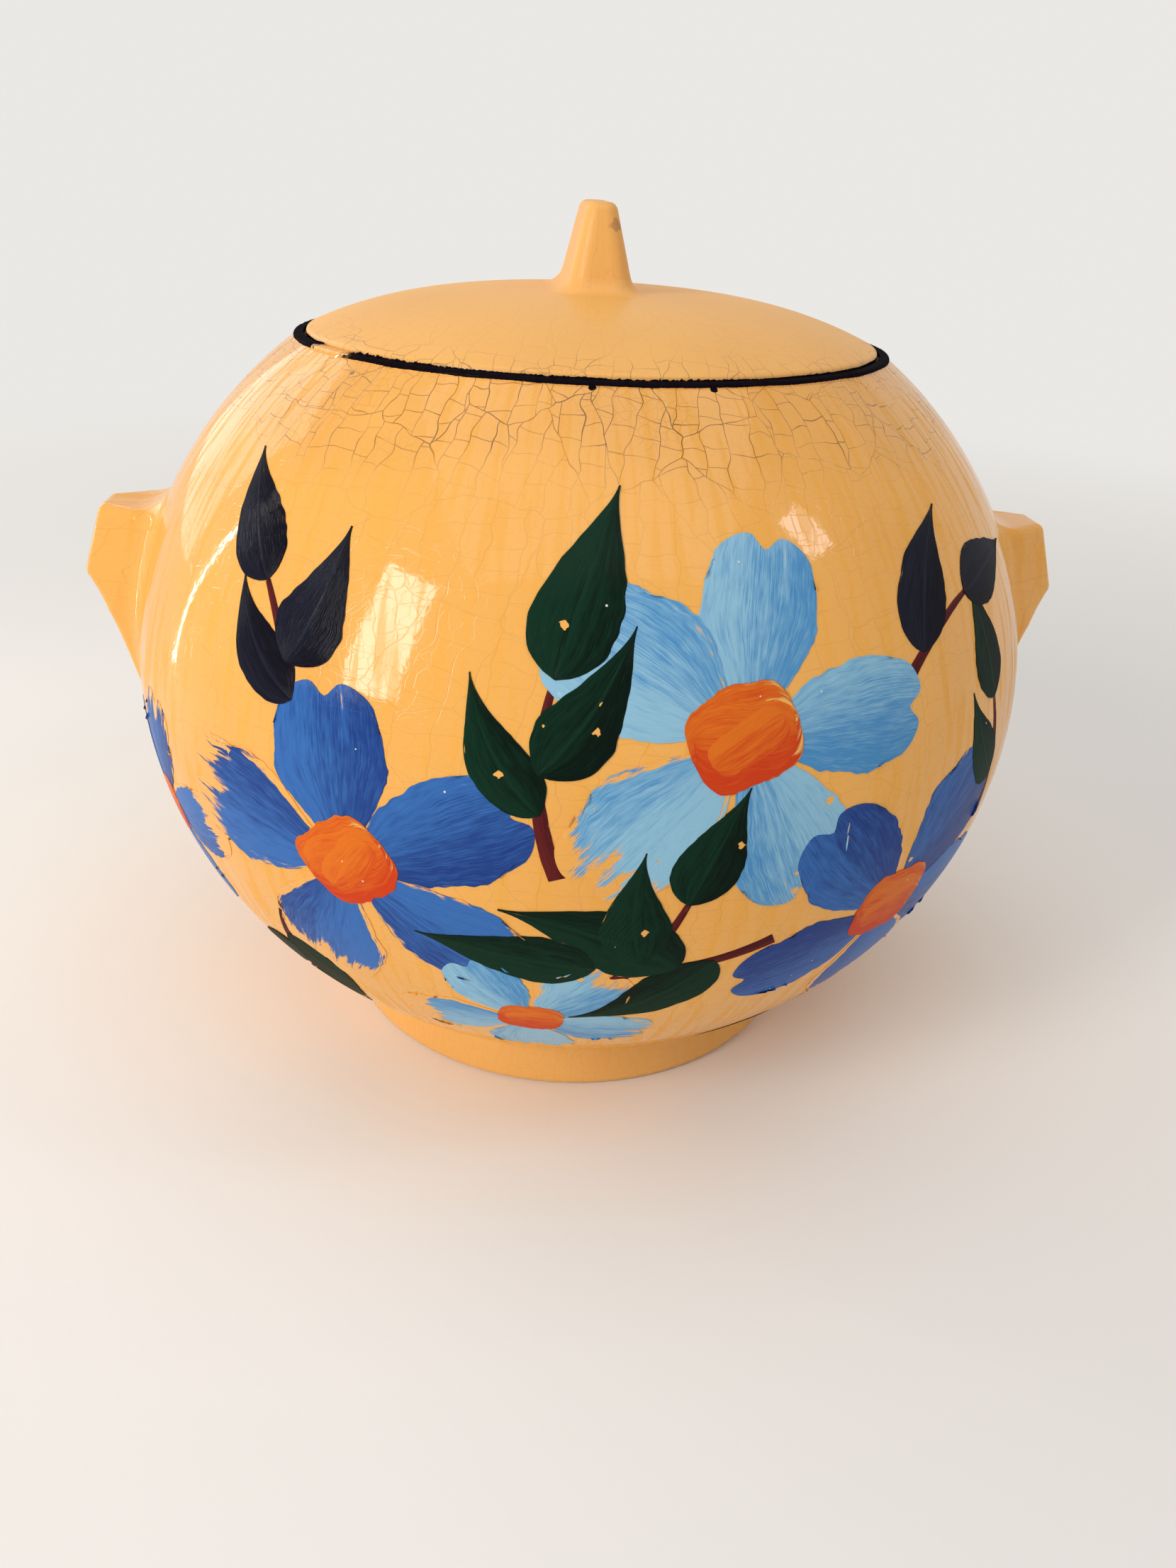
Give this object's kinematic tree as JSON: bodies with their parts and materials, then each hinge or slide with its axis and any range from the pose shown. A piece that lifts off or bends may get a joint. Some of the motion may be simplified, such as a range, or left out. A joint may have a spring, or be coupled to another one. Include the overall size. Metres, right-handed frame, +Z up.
{
  "type": "biscuit jar",
  "caption": "Squat globe biscuit jar in glazed earthenware, with a foot ring, angular lug handles cast on its sides, and a loose domed lid with a finger tab.",
  "frame": {"origin": "middle of the foot ring's resting face, which is the middle of the bottom of the bounding box", "axes": "+Z up through the lid's tab; +X out through one lug and -X through the other; the tab is long in Y"},
  "size_m": [0.2636, 0.236, 0.2172],
  "materials": {
    "jar_glaze": "glossy, crazed butter-yellow glaze",
    "lid_glaze": "glossy, crazed butter-yellow glaze"
  },
  "bodies": {
    "jar": {"jar": "jar_glaze"},
    "lid": {"lid": "lid_glaze"}
  },
  "joints": [
    {"name": "lid_lift", "type": "slide", "parent": "jar", "child": "lid", "axis": [0, 0, 1], "range_m": [0, 0.18]}
  ]
}
